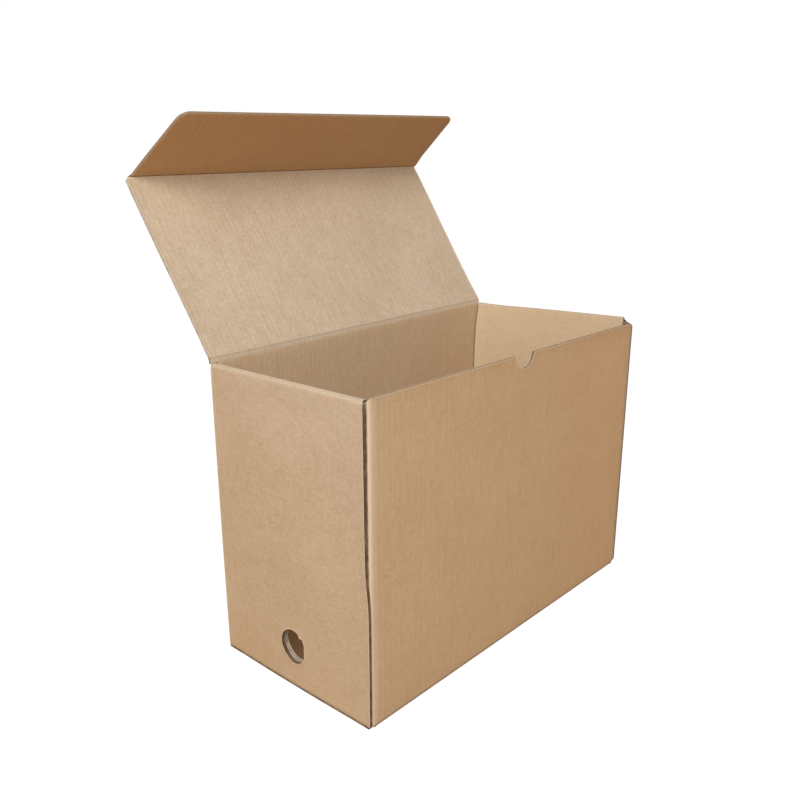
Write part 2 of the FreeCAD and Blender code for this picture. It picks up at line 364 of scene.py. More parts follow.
def cut_cells(loops, u_lines, v_lines):
    """Points and faces of the outline, cut along the lines, as flat arrays."""
    points, edges = [], []
    rings = list(loops)
    for number, loop in enumerate(loops):
        rings += [inset(loop, -gap if number else gap) for gap in EDGE_LINES]
    for ring in rings:
        first = len(points)
        points += [Vector(each) for each in ring]
        edges += [(first + k, first + (k + 1) % len(ring)) for k in range(len(ring))]
    low, high = bounds_of(loops[0])
    ends = [((u, low[1]), (u, high[1])) for u in u_lines if low[0] < u < high[0]]
    ends += [((low[0], v), (high[0], v)) for v in v_lines if low[1] < v < high[1]]
    for start, end in ends:
        edges.append((len(points), len(points) + 1))
        points += [Vector(start), Vector(end)]
    found = delaunay_2d_cdt(points, edges, [], VALID_FACES, SAME_PLACE)
    flat = np.array([tuple(each) for each in found[0]])
    faces = [tuple(face) for face in found[2]]
    centres = np.array([flat[list(face)].mean(axis=0) for face in faces])
    kept = [face for face, good in zip(faces, inside(centres, loops)) if good]
    used = sorted({number for face in kept for number in face})
    renumbered = {old: new for new, old in enumerate(used)}
    return flat[used], [tuple(renumbered[n] for n in face) for face in kept]


def border(faces):
    """The edges that only one face has, in that face's direction."""
    seen = {}
    for face in faces:
        for start, end in zip(face, face[1:] + face[:1]):
            if seen.pop((end, start), None) is None:
                seen[start, end] = True
    return list(seen)


def gap_to(points, start, end):
    """Distance of each point from one straight stretch."""
    start, end = np.array(start, float), np.array(end, float)
    way = end - start
    share = np.clip((points - start) @ way / max(way @ way, NO_LENGTH), 0, 1)
    return np.linalg.norm(points - start - share[:, None] * way, axis=1)


def raw_gap(points, loops, joined):
    """Distance from the nearest cut edge, leaving out edges that another piece goes on from."""
    nearest = np.full(len(points), np.inf)
    for loop in loops:
        for start, end in zip(loop, loop[1:] + loop[:1]):
            on_joint = any(abs(start[1] - s) < SAME_STATION for s in joined)
            if start[1] != end[1] or not on_joint:
                nearest = np.minimum(nearest, gap_to(points, start, end))
    return nearest


def lines_between(low, high, step):
    """Multiples of the step strictly between two ends."""
    first = math.ceil((low + STEP_SHARE * step) / step)
    last = math.floor((high - STEP_SHARE * step) / step)
    return [step * k for k in range(first, last + 1)]


def bend_lines(run, low, high):
    """Extra lines inside the bends of a run, close enough to be round."""
    found = []
    for start, end in run.bends():
        count = max(2, round((end - start) / BEND_STEP))
        found += [start + (end - start) * k / count for k in range(count + 1)]
    return [s for s in found if low + BEND_GAP < s < high - BEND_GAP]


# Slow waves: their number, the half turns of each over a sheet, and how far edges hold them
SWELL_WAVES, SWELL_COUNTS, SWELL_REACH = 5, (0.4, 1.6), 25


def swell(points, loops, held, seed, height):
    """Slow waves out of the flat, which die away towards the edges that are held."""
    low, high = bounds_of(loops[0])
    draw = np.random.default_rng(seed)
    size = high - low
    wave = np.zeros(len(points))
    for _ in range(SWELL_WAVES):
        count = draw.uniform(*SWELL_COUNTS, 2) * np.pi / size
        wave += np.sin((points - low) @ count + draw.uniform(0, 2 * np.pi)) / SWELL_WAVES
    gaps = {"left": points[:, 0] - low[0], "right": high[0] - points[:, 0],
            "start": points[:, 1] - low[1], "end": high[1] - points[:, 1]}
    for edge in held:
        wave *= 1 - np.exp(-np.maximum(gaps[edge], 0) / SWELL_REACH)
    return height * wave


# Making a board


# Slots of the two materials, the angle in degrees that stays sharp, how far apart the boards
# lie in the noise, and how strong its streaks are where the flutes run along u
KRAFT_FACE, KRAFT_CORE = 0, 1
SHARP_ANGLE = 40
SHEET_APART = 40.0
FAINT_STREAKS = 0.25

# Raw edges gape or are crushed, are worn pale and carry painted shade; each with how far it reaches in
EDGE_FLARE, EDGE_CRUSH, FLARE_REACH = 0.3, -0.3, 1.6
FLUTE_CRUSH, CRUSH_REACH = 0.8, 1.5
WORN_REACH, SHADE_REACH = 0.8, 0.4

# Bends are squeezed thinner and worn
BEND_SQUEEZE, SQUEEZE_REACH = 0.2, 1.5
BEND_WEAR, BEND_WEAR_REACH = 0.4, 0.6

# The left side fold of the front and back: a faint zone of painted highlight, then more painted
# highlight round the bend; and painted shade towards the side flaps' roots on both sides
ZONE_HIGHLIGHT, ZONE_REACH = 0.6, 3.5
ROUND_HIGHLIGHT, ROUND_REACH = 1.5, 2.2
ROOT_SHADE_START, ROOT_SHADE_REACH = 1.4, 0.8

# How much of an edge's painted shade the two levels of the outer liner, inner liner and flutes take
CUT_SHADES = (0.1, 0.0, 1.0, 1.0, 1.0, 1.0)

# Lines of painted shade along creases, folds and the foot, or of painted highlight below 0: how
# wide and how dark, and how far past a bend's start or end such a line lies
SOFT_SCORE_SHADE = (0.5, 0.3)
END_FOOT_SHADOW, FRONT_FOOT_SHADOW = (1.3, 1.0), (0.8, 0.6)
HINGE_SCORE_SHADE, HINGE_HIGHLIGHT = (0.5, 0.4), (1.3, -0.6)
TUCK_FOLD_SHADE, SIDE_FLAP_SHADE = (0.9, 1.0), (5.0, 1.0)
LINE_PAST = 0.1
EVEN = (0.0, 0.0, 0.0)


def fade(gap, reach):
    """1 where the gap is 0, and falling away smoothly past the reach."""
    return np.exp(-(gap / reach) ** 2)


def past(s, start, end):
    """How far each station is outside a stretch of the run."""
    return np.maximum(0, np.maximum(start - s, s - end))


def thickness(flat, raw, run, flare):
    """The board's thickness as a share of its own: raw edges gape and bends are squeezed."""
    thick = 1 + flare * fade(raw, FLARE_REACH)
    for start, end in run.bends():
        thick *= 1 - BEND_SQUEEZE * fade(past(flat[:, 1], start, end), SQUEEZE_REACH)
    return thick


def wear_and_light(flat, raw, run, sides_turned, lines):
    """Wear and painted highlight, and painted shade, on the board at each point."""
    wear_and_highlight = fade(raw, WORN_REACH)
    for start, end in run.bends():
        wear_and_highlight = np.maximum(wear_and_highlight, BEND_WEAR * fade(past(flat[:, 1], start, end), BEND_WEAR_REACH))
    painted_shade = np.zeros(len(flat))
    if sides_turned:
        left, turned = -flat[:, 0] - HALF_FLAT, np.abs(flat[:, 0]) - HALF_FLAT
        wear_and_highlight = np.maximum(wear_and_highlight, ZONE_HIGHLIGHT * fade(left, ZONE_REACH))
        wear_and_highlight = np.maximum(wear_and_highlight, ROUND_HIGHLIGHT * np.clip(left / ROUND_REACH, 0, 1))
        painted_shade = np.clip((turned - FLAP_ROOT_S + ROOT_SHADE_START) / ROOT_SHADE_REACH, 0, 1)
    for station, width, depth in lines:
        mark = fade(flat[:, 1] - station, width)
        painted_shade = np.maximum(painted_shade, depth * mark)
        wear_and_highlight = np.maximum(wear_and_highlight, -depth * mark)
    return wear_and_highlight, painted_shade


def graded(flat, shade_tint):
    """A value over the sheet: its middle, and what it gains towards the high ends of u and s."""
    low, high = flat.min(axis=0), flat.max(axis=0)
    return shade_tint[0] + (2 * (flat - low) / (high - low) - 1) @ np.array(shade_tint[1:])


def board(name, loops, place, run, flutes, joined=(), held=(), seed=0, bulge=0.0, lines=(),
          shade_tint=EVEN, flare=EDGE_FLARE, bleach=0.0, shade=0.0):
    """A piece of corrugated board from its flat outline and holes.

    place turns flat u, s and height w into X, Y, Z; flutes is the way the flutes run, "u" or "s".
    joined are the stations at which another piece goes on, and held the edges that stay flat.
    lines are painted marks along creases and folds, each a station, a width and a depth: painted
    shade above 0 and painted highlight below; its tint is how much painted warm shade and bounce
    light browns its liners, or painted light pales them below 0; flare is how much thicker its raw
    edges are, bleach how pale the cut is and shade how much painted shade darkens its cut edges.
    """
    low, high = bounds_of(loops[0])
    steps = (ALONG_STEP, ACROSS_STEP) if flutes == "u" else (ACROSS_STEP, ALONG_STEP)
    u_lines = lines_between(low[0], high[0], steps[0])
    s_lines = lines_between(low[1], high[1], steps[1])
    bends = bend_lines(run, low[1], high[1])
    s_lines = [s for s in s_lines if all(abs(s - b) > LINE_GAP for b in bends)] + bends
    if place.side_lines:
        u_lines = [u for u in u_lines if abs(u) < HALF_FLAT - LINE_GAP] + place.side_lines
    flat, faces = cut_cells(loops, u_lines, s_lines)

    across, along = (flat[:, 1], flat[:, 0]) if flutes == "u" else (flat[:, 0], flat[:, 1])
    raw = raw_gap(flat, loops, joined)
    thick = thickness(flat, raw, run, flare)
    wear_and_highlight, painted_shade = wear_and_light(flat, raw, run, place.side_lines, lines)
    wave = np.sin(2 * np.pi * across / FLUTE_PITCH)
    lift = swell(flat, loops, held, seed, bulge)

    under_liner = HALF_BOARD - LINER
    ridge = TELEGRAPH * wave
    sheet_rise = FLUTE_RISE * wave * (1 - FLUTE_CRUSH * fade(raw, CRUSH_REACH))
    shells = [
        (under_liner + ridge, HALF_BOARD + ridge, KRAFT_CORE, KRAFT_FACE, KRAFT_FACE),
        (-HALF_BOARD + ridge, ridge - under_liner, KRAFT_FACE, KRAFT_CORE, KRAFT_FACE),
        (sheet_rise - MEDIUM / 2, sheet_rise + MEDIUM / 2, KRAFT_CORE, KRAFT_CORE, KRAFT_FACE),
    ]
    rims = border(faces)
    places, sheet, polygons, slots = [], [], [], []
    for under, over, under_slot, over_slot, rim_slot in shells:
        for level in (under, over):
            height = level * thick + lift
            places.append(place(flat[:, 0], flat[:, 1], height))
            sheet.append(np.stack([across, along, level + SHEET_APART * seed], axis=1))
        first = len(flat) * (len(places) - 2)
        second = first + len(flat)
        polygons += [tuple(second + n for n in face) for face in faces]
        slots += [over_slot] * len(faces)
        polygons += [tuple(first + n for n in reversed(face)) for face in faces]
        slots += [under_slot] * len(faces)
        polygons += [(first + a, first + b, second + b, second + a) for a, b in rims]
        slots += [rim_slot] * len(rims)
    marks = {"wear_and_highlight": wear_and_highlight, "painted_shade": painted_shade, "shade_tint": graded(flat, shade_tint),
             "streaky": np.full(len(flat), 1.0 if flutes == "s" else FAINT_STREAKS),
             "bleach": np.full(len(flat), bleach)}
    marks = {key: np.tile(values, len(places)) for key, values in marks.items()}
    # Painted shade of the seam's gap, along the cut edges
    shades = shade * np.repeat(CUT_SHADES, len(flat))
    at_cut = shades * np.tile(fade(raw, SHADE_REACH), len(places))
    marks["painted_shade"] = np.maximum(marks["painted_shade"], at_cut)
    return make_piece(name, np.concatenate(places), polygons, slots, np.concatenate(sheet), marks)


def make_piece(name, places, polygons, slots, sheet, marks):
    """A mesh object in metres, with the flat sheet's own coordinates kept on its points."""
    mesh = bpy.data.meshes.new(name)
    mesh.from_pydata((places * MM).tolist(), [], polygons)
    for material in (kraft_face, kraft_core):
        mesh.materials.append(material)
    mesh.polygons.foreach_set("material_index", np.array(slots, np.int32))
    mesh.polygons.foreach_set("use_smooth", np.ones(len(polygons), bool))
    mesh.attributes.new("sheet", "FLOAT_VECTOR", "POINT").data.foreach_set(
        "vector", (sheet * MM).ravel().astype(np.float32))
    for key, values in marks.items():
        mesh.attributes.new(key, "FLOAT", "POINT").data.foreach_set("value", values.astype(np.float32))
    shape = bmesh.new()
    shape.from_mesh(mesh)
    bmesh.ops.recalc_face_normals(shape, faces=shape.faces)
    shape.to_mesh(mesh)
    shape.free()
    mesh.set_sharp_from_angle(angle=math.radians(SHARP_ANGLE))
    piece = bpy.data.objects.new(name, mesh)
    bpy.context.scene.collection.objects.link(piece)
    return piece


# Ways to place a flat sheet


class Placing:
    """Turns a sheet's flat coordinates into places; side_lines are extra lines for side folds."""

    def __init__(self, rule, side_lines=()):
        self.rule = rule
        self.side_lines = list(side_lines)

    def __call__(self, u, s, w):
        return self.rule(u, s, w)


def along_box(u, s, w):
    """Front, bottom and back, straight across."""
    y, z = LONG.at(s, w)
    return settle_carton(np.stack([u, y, z], axis=1))


def along_lid(u, s, w):
    """Lid and flap."""
    y, z = LONG.at(s, w)
    return settle_lid(np.stack([u, y, z], axis=1), s)


def wall(sign):
    """Front or back, whose sides turn round towards the side flaps."""
    def rule(u, s, w):
        y, z = LONG.at(s, w)
        x = u.copy()
        turned = np.abs(u) > HALF_FLAT
        out, deep = AROUND.at(np.abs(u[turned]) - HALF_FLAT, w[turned])
        x[turned] = np.sign(u[turned]) * out
        y[turned] = -sign * deep
        z[turned] = HEIGHT - s[turned] if sign < 0 else FOLD_RADIUS + s[turned] - BACK_LOW_S
        return settle_carton(np.stack([x, y, z], axis=1))
    count = round(FLAP_ROOT_S / BEND_STEP)
    turns = [HALF_FLAT + FLAP_ROOT_S * k / count for k in range(count)]
    return Placing(rule, turns + [-u for u in turns])


def sprung(out, y, z, s):
    """The right end's strip and inner panel, which stand up and bow into the box on their own."""
    ahead = np.clip((HALF_DEPTH - y) / (2 * HALF_DEPTH), 0, 1)
    share = np.clip((s - OUTER_TOP_S) / (INNER_TOP_S - OUTER_TOP_S), 0, 1)
    rise = (BACK_RISE + FRONT_GAIN * ahead ** RISE_POWER) * share ** 3 * np.clip(z / HEIGHT, 0, 1)
    below = np.maximum(HEIGHT - z, 0)
    footed = np.sin(np.pi / 2 * np.clip(z / BOW_FOOT, 0, 1))
    bow = BOW * (1 - np.exp(-below / BOW_REACH)) * footed - LIP * np.exp(-below / LIP_REACH)
    bow = bow * (1 - ahead) ** 2 * (s > INNER_TOP_S - 2 * TOP_FOLD_RADIUS)
    return out - bow, z + rise


def higher(z):
    """0 low on the left end and 1 from its middle up, where its front edge has come away."""
    return 1 / (1 + np.exp((GAP_START - z) / GAP_EASE))


def gaping(out, y, z, s):
    """The left end, whose front edge stands away from the side flap and whose top leans in."""
    share = np.clip((s - OUTER_TOP_S) / (INNER_TOP_S - OUTER_TOP_S), 0, 1)
    away = GAP_OUT * higher(z) * np.exp(-(y + END_EDGE) / GAP_REACH) * (1 - share)
    return out + away, z - STRIP_DROP * share * np.clip(z / HEIGHT, 0, 1)


def over_end(side):
    """Outer panel, top strip and inner panel of one end; side is -1 at the left, 1 at the right."""
    def rule(u, s, w):
        out, z = CROSS.at(s, w)
        if side > 0:
            out, z = sprung(out, u, z, s)
        else:
            out, z = gaping(out, u, z, s)
        return settle_carton(np.stack([side * out, u, z], axis=1))
    return Placing(rule)


def around_corner(side, sign):
    """A side flap, with u its height and s its distance round from the wall's flat part."""
    def rule(u, s, w):
        out, deep = AROUND.at(s, w)
        return settle_carton(np.stack([side * out, -sign * deep, u], axis=1))
    return Placing(rule)


# Outlines


def arc(centre, radius, start, end):
    """Points round an arc, about a millimetre apart, angles in degrees."""
    count = max(4, round(radius * abs(math.radians(end - start))))
    found = []
    for k in range(count + 1):
        angle = math.radians(start + (end - start) * k / count)
        found.append((centre[0] + radius * math.cos(angle), centre[1] + radius * math.sin(angle)))
    return found


def rectangle(left, right, low, high):
    return [(left, low), (right, low), (right, high), (left, high)]


# Corners of the front and back: how far off the floor they end, how they are cut, how far the
# top runs straight past the flat, and how it drops round the fold on the left and elsewhere
CORNER_GAP, CORNER_CUT = 1.4, 3.2
TOP_PAST = 1.2
SHOULDER, SQUARE = 3.0, 0.4


def wall_outline(joint, shoulder, notch=False):
    """Outline of the front or the back; s runs from its top edge down to the bottom's fold."""
    top = [(-HALF_FLAT - TOP_PAST, 0.0)]
    if notch:
        top += arc((NOTCH_X, 0.0), NOTCH_RADIUS, 180, 0)
    top += [(HALF_FLAT + TOP_PAST, 0.0)]
    low = FRONT_LOW_S + FOLD_RADIUS - CORNER_GAP
    right = [(HALF_SPREAD, low - CORNER_CUT), (HALF_SPREAD - CORNER_CUT, low),
             (HALF_FLAT, low), (HALF_FLAT, joint)]
    left = [(-u, s) for u, s in reversed(right)]
    return top + [(HALF_SPREAD, SQUARE)] + right + left + [(-HALF_SPREAD, shoulder)]


# Materials

# How much painted warm shade and bounce light browns some panels, or painted light pales
# them below 0: in the middle, and towards high u and high s
FRONT_SHADE_TINT, BACK_SHADE_TINT, TUCK_SHADE_TINT = (0.95, 0.25, 0.0), (0.75, 0.0, 0.0), (1.3, 0.0, 0.0)
CREASE_SHADE_TINT, LEFT_SHADE_TINT = (0.5, 0.0, 0.4), (0.3, 0.1, -0.25)
BOTTOM_SHADE_TINT, INSIDE_LIGHT_TINT = (1.2, 0.0, 0.0), (-0.9, 0.0, 0.0)
HINGE_SHADE_TINT = (0.3, 0.0, -0.3)


class Nodes:
    """A short way to write the nodes of a material or of the world."""

    def __init__(self, owner, shader="Principled BSDF"):
        owner.use_nodes = True
        self.owner = owner
        self.tree = owner.node_tree
        self.shader = self.tree.nodes[shader]

    def add(self, kind, **settings):
        node = self.tree.nodes.new(kind)
        for key, value in settings.items():
            setattr(node, key, value)
        return node

    def link(self, source, target):
        self.tree.links.new(source, target)

    def fill(self, socket, value):
        if isinstance(value, bpy.types.NodeSocket):
            self.link(value, socket)
        else:
            socket.default_value = value

    def math(self, operation, first, second=0.0, third=0.0, clamp=False):
        node = self.add("ShaderNodeMath", operation=operation, use_clamp=clamp)
        for socket, value in zip(node.inputs, (first, second, third)):
            self.fill(socket, value)
        return node.outputs[0]

    def attribute(self, name):
        return self.add("ShaderNodeAttribute", attribute_name=name, attribute_type="GEOMETRY")

    def stretched(self, vector, scale):
        node = self.add("ShaderNodeVectorMath", operation="MULTIPLY")
        self.link(vector, node.inputs[0])
        node.inputs[1].default_value = scale
        return node.outputs[0]

    def noise(self, vector, scale, detail=3.0, roughness=0.55):
        node = self.add("ShaderNodeTexNoise")
        self.link(vector, node.inputs["Vector"])
        node.inputs["Scale"].default_value = scale
        node.inputs["Detail"].default_value = detail
        node.inputs["Roughness"].default_value = roughness
        return node.outputs["Fac"]

    def ranged(self, value, low, high, to_low, to_high):
        node = self.add("ShaderNodeMapRange", clamp=True)
        for socket, number in zip(node.inputs, (value, low, high, to_low, to_high)):
            self.fill(socket, number)
        return node.outputs[0]

    def mix(self, share, first, second):
        node = self.add("ShaderNodeMix", data_type="RGBA")
        for number, value in ((0, share), (6, first), (7, second)):
            self.fill(node.inputs[number], value)
        return node.outputs[2]

    def surface(self, colour, roughness, specular):
        names = "Base Color", "Roughness", "Specular IOR Level"
        for name, value in zip(names, (colour, roughness, specular)):
            self.fill(self.shader.inputs[name], value)

    def bump(self, height, strength, distance):
        node = self.add("ShaderNodeBump")
        for name, value in (("Strength", strength), ("Distance", distance), ("Height", height)):
            self.fill(node.inputs[name], value)
        self.link(node.outputs[0], self.shader.inputs["Normal"])


# The liner's two tones, the colours of painted warm shade and light that its tint turns to,
# its fibres, the dark of painted shade, and the cuts, whose dark tones paint the shade in the flutes
KRAFT = (0.62, 0.48, 0.335, 1)
KRAFT_DARK = (0.51, 0.378, 0.25, 1)
SHADE_BROWN = (0.56, 0.35, 0.165, 1)
KRAFT_LIGHT = (0.74, 0.61, 0.46, 1)
PAINTED_LIGHT_WARM = (0.78, 0.57, 0.34, 1)
FIBRE_DARK = (0.34, 0.21, 0.115, 1)
SHADE_DARK = (0.115, 0.055, 0.026, 1)
DEEP_SHADE_BROWN = (0.64, 0.33, 0.15, 1)
CUT_EDGE = (0.26, 0.16, 0.09, 1)
CUT_DARK = (0.09, 0.05, 0.025, 1)
CUT_PALE = (0.66, 0.58, 0.48, 1)


# How fine each noise is, in cells to the metre
BROAD, CLOUDS, FLECKS, STREAKS = 14, 120, 450, 520
SPECKS, FIBRES, GRAIN = 560, 1300, 2400
CUT_PATCHES, CUT_FUZZ = 260, 1500

# How they are drawn out along the flutes, as factors across, along and through
FLECK_FORM, STREAK_FORM, FIBRE_FORM = (1.0, 0.8, 1.0), (1.0, 0.05, 1.0), (1.0, 0.3, 1.0)


def flute_wave(nodes, sheet):
    """Sine of the flutes under the liner."""
    parts = nodes.add("ShaderNodeSeparateXYZ")
    nodes.link(sheet, parts.inputs[0])
    turns = nodes.math("MULTIPLY", parts.outputs[0], 2 * math.pi / (FLUTE_PITCH * MM))
    return nodes.math("SINE", turns)


def make_kraft_face():
    """Uncoated kraft liner: mottled, with short fibres and specks, faint painted shade along the
    flutes, and the painted light and shade that its marks carry.
    """
    nodes = Nodes(bpy.data.materials.new("kraft_face"))
    sheet = nodes.attribute("sheet").outputs["Vector"]
    wear_and_highlight = nodes.attribute("wear_and_highlight").outputs["Fac"]
    painted_shade = nodes.attribute("painted_shade").outputs["Fac"]
    shade_tint = nodes.attribute("shade_tint").outputs["Fac"]
    streaky = nodes.attribute("streaky").outputs["Fac"]
    broad = nodes.noise(sheet, BROAD, 2)
    cloudy = nodes.noise(sheet, CLOUDS, 3)
    flecks = nodes.noise(nodes.stretched(sheet, FLECK_FORM), FLECKS, 3, 0.65)
    streaks = nodes.noise(nodes.stretched(sheet, STREAK_FORM), STREAKS, 2)
    fibres = nodes.noise(nodes.stretched(sheet, FIBRE_FORM), FIBRES, 3, 0.6)
    grain = nodes.noise(sheet, GRAIN, 2)
    specks = nodes.noise(sheet, SPECKS, 2, 0.5)
    wave = flute_wave(nodes, sheet)

    tone = nodes.math("MULTIPLY_ADD", broad, 0.2, nodes.math("MULTIPLY", cloudy, 0.2))
    tone = nodes.math("MULTIPLY_ADD", flecks, 0.42, tone)
    lined = nodes.math("MULTIPLY", nodes.math("SUBTRACT", streaks, 0.5), streaky)
    tone = nodes.math("MULTIPLY_ADD", lined, 0.22, nodes.math("ADD", tone, 0.09))
    colour = nodes.mix(nodes.ranged(tone, 0.38, 0.62, 0, 1), KRAFT_DARK, KRAFT)
    # Each layer: what steers it between two values, how much it covers at each, and its colour
    layers = (
        # The first three paint warm shade and bounce light, or light below 0, steered by the tint
        (shade_tint, 0, 1, 0, 0.7, SHADE_BROWN),
        (shade_tint, 1, 2, 0, 1, DEEP_SHADE_BROWN),
        (shade_tint, -1, 0, 0.6, 0, PAINTED_LIGHT_WARM),
        (tone, 0.5, 0.62, 0, 0.1, KRAFT_LIGHT),
        (tone, 0.38, 0.5, 0.08, 0, FIBRE_DARK),
        (fibres, 0.52, 0.85, 0, 0.25, KRAFT_LIGHT),
        (fibres, 0.2, 0.45, 0.2, 0, FIBRE_DARK),
        (specks, 0.7, 0.78, 0, 0.4, FIBRE_DARK),
    )
    for *cover, layer in layers:
        colour = nodes.mix(nodes.ranged(*cover), colour, layer)
    # Painted shade in the hollows between the flutes, as faint lines
    flute_shade = nodes.math("MULTIPLY", nodes.ranged(wave, -1, 1, 0.08, 0), streaky)
    colour = nodes.mix(flute_shade, colour, FIBRE_DARK)
    # Worn edges and bends turn pale; the left side folds and the hinge's band are painted highlight
    colour = nodes.mix(nodes.math("MULTIPLY", wear_and_highlight, 0.5), colour, KRAFT_LIGHT)
    # Painted shade in creases and folds, at the foot, by the side flaps' roots and at cut edges
    shade_cover = nodes.math("MULTIPLY", painted_shade, nodes.ranged(cloudy, 0.35, 0.6, 0.6, 0.95))
    colour = nodes.mix(shade_cover, colour, SHADE_DARK)
    nodes.surface(colour, nodes.ranged(cloudy, 0.3, 0.7, 0.82, 0.95), specular=0.25)

    height = nodes.math("MULTIPLY_ADD", fibres, 0.5, nodes.math("MULTIPLY", grain, 0.25))
    nodes.bump(height, strength=0.25, distance=0.0002)
    return nodes.owner


def make_kraft_core():
    """Cut edges and the fluted sheet: greyer, rough and fibrous, darkened to paint the shade in the
    flutes.
    """
    nodes = Nodes(bpy.data.materials.new("kraft_core"))
    sheet = nodes.attribute("sheet").outputs["Vector"]
    rough = nodes.noise(sheet, CUT_FUZZ, 4, 0.65)
    patches = nodes.noise(sheet, CUT_PATCHES, 2)
    tone = nodes.math("MULTIPLY_ADD", rough, 0.6, nodes.math("MULTIPLY", patches, 0.4))
    colour = nodes.mix(nodes.ranged(tone, 0.36, 0.6, 0, 1), CUT_DARK, CUT_EDGE)
    bleach = nodes.attribute("bleach").outputs["Fac"]
    paled = nodes.math("MULTIPLY", bleach, nodes.ranged(patches, 0.35, 0.6, 0.5, 1))
    colour = nodes.mix(paled, colour, CUT_PALE)
    nodes.surface(colour, nodes.ranged(rough, 0.3, 0.7, 0.88, 1.0), specular=0.2)
    nodes.bump(rough, strength=0.5, distance=0.0003)
    return nodes.owner


kraft_face = make_kraft_face()
kraft_core = make_kraft_core()


# The panels


def stand_for(piece, node, body):
    """The piece takes the place of its node and goes with its body."""
    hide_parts(node)
    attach(piece, body)
    return piece


def bottom_panel():
    edge = HALF_WIDTH - FOLD_RADIUS
    loops = [rectangle(-edge, edge, BOTTOM_FRONT_S, BOTTOM_BACK_S)]
    middle = (BOTTOM_FRONT_S + BOTTOM_BACK_S) / 2
    half_slot, half_wide = TAB_WIDTH / 2 + SLOT_GAP, HALF_BOARD + SLOT_GAP
    for side in (-1, 1):
        across = side * INNER_X
        for place in (-1, 1):
            centre = middle + place * TAB_PITCH / 2
            loops.append(rectangle(across - half_wide, across + half_wide,
                                   centre - half_slot, centre + half_slot))
    piece = board("bottom_board", loops, Placing(along_box), LONG, "s",
                  joined=(BOTTOM_FRONT_S, BOTTOM_BACK_S), held=("left", "right", "start", "end"),
                  seed=1, shade_tint=BOTTOM_SHADE_TINT)
    return stand_for(piece, "bottom_panel", "carton")


def front_panel():
    loops = [wall_outline(BOTTOM_FRONT_S, SHOULDER, notch=True)]
    piece = board("front_board", loops, wall(-1), LONG, "s", joined=(BOTTOM_FRONT_S,),
                  held=("left", "right", "end", "start"), seed=2, bulge=1.2, shade_tint=FRONT_SHADE_TINT,
                  # A line of painted contact shadow along the foot
                  lines=((FRONT_LOW_S + LINE_PAST, *FRONT_FOOT_SHADOW),))
    return stand_for(piece, "front_panel", "carton")


def back_panel():
    outline = [(u, BACK_TOP_S - s) for u, s in wall_outline(BACK_TOP_S - BOTTOM_BACK_S, SQUARE)]
    piece = board("back_board", [outline], wall(1), LONG, "s", joined=(BOTTOM_BACK_S, BACK_TOP_S),
                  held=("left", "right", "start", "end"), seed=3, bulge=1.0, shade_tint=BACK_SHADE_TINT)
    return stand_for(piece, "back_panel", "carton")


def hole_outline(u_centre, s_centre, up):
    """The finger hole: a hand-cut round with a flat towards the front and a torn tooth."""
    found = []
    for k in range(HOLE_POINTS):
        angle = 2 * math.pi * k / HOLE_POINTS
        radius = HOLE_RADIUS
        for depth, middle, width in (HOLE_TOOTH, HOLE_SAG):
            radius -= depth * fade(math.degrees(angle) - middle, width)
        across = max(-radius * math.cos(angle), -HOLE_FLAT) + HOLE_SHIFT[0]
        rise = radius * math.sin(angle) + HOLE_SHIFT[1]
        found.append((u_centre + across, s_centre + up * rise))
    return found


